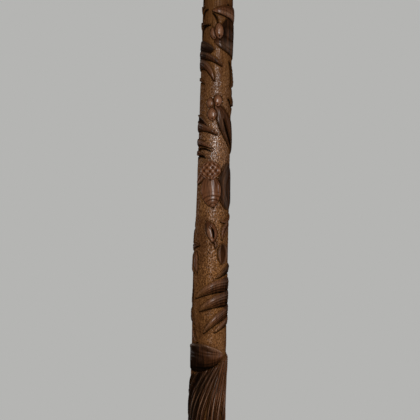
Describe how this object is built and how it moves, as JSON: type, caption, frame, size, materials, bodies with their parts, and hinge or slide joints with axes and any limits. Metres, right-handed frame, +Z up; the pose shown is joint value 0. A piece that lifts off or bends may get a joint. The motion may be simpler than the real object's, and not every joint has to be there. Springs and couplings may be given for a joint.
{
  "type": "walking cane",
  "caption": "Upright hardwood walking cane with a relief-carved shaft, plain cross handle, brass collar and ferrule, and a pull-off rubber tip.",
  "frame": {"origin": "centre of the rubber tip's tread, where the cane meets the ground", "axes": "+Z up along the shaft's axis towards the handle, +X along the handle towards its longer end, carved front facing -Y"},
  "size_m": [0.128, 0.033, 0.914],
  "materials": {
    "carved_wood": "stained and varnished, carved in relief",
    "handle_wood": "dark stained and varnished, smooth",
    "collar_brass": "polished, lightly tarnished",
    "rod_steel": "drawn",
    "ferrule_brass": "satin, scuffed",
    "pin_brass": "satin",
    "tip_rubber": "matt moulded, worn at the tread",
    "washer_steel": "stamped"
  },
  "bodies": {
    "tip": {"rubber_tip": "tip_rubber", "tip_washer": "washer_steel"},
    "cane": {"shaft": "carved_wood", "handle": "handle_wood", "handle_collar": "collar_brass", "joint_rod": "rod_steel", "tip_ferrule": "ferrule_brass", "ferrule_pin_right": "pin_brass", "ferrule_pin_left": "pin_brass"}
  },
  "joints": [
    {"name": "tip_pull", "type": "slide", "parent": "tip", "child": "cane", "axis": [0, 0, 1], "range_m": [0, 0.04]}
  ]
}
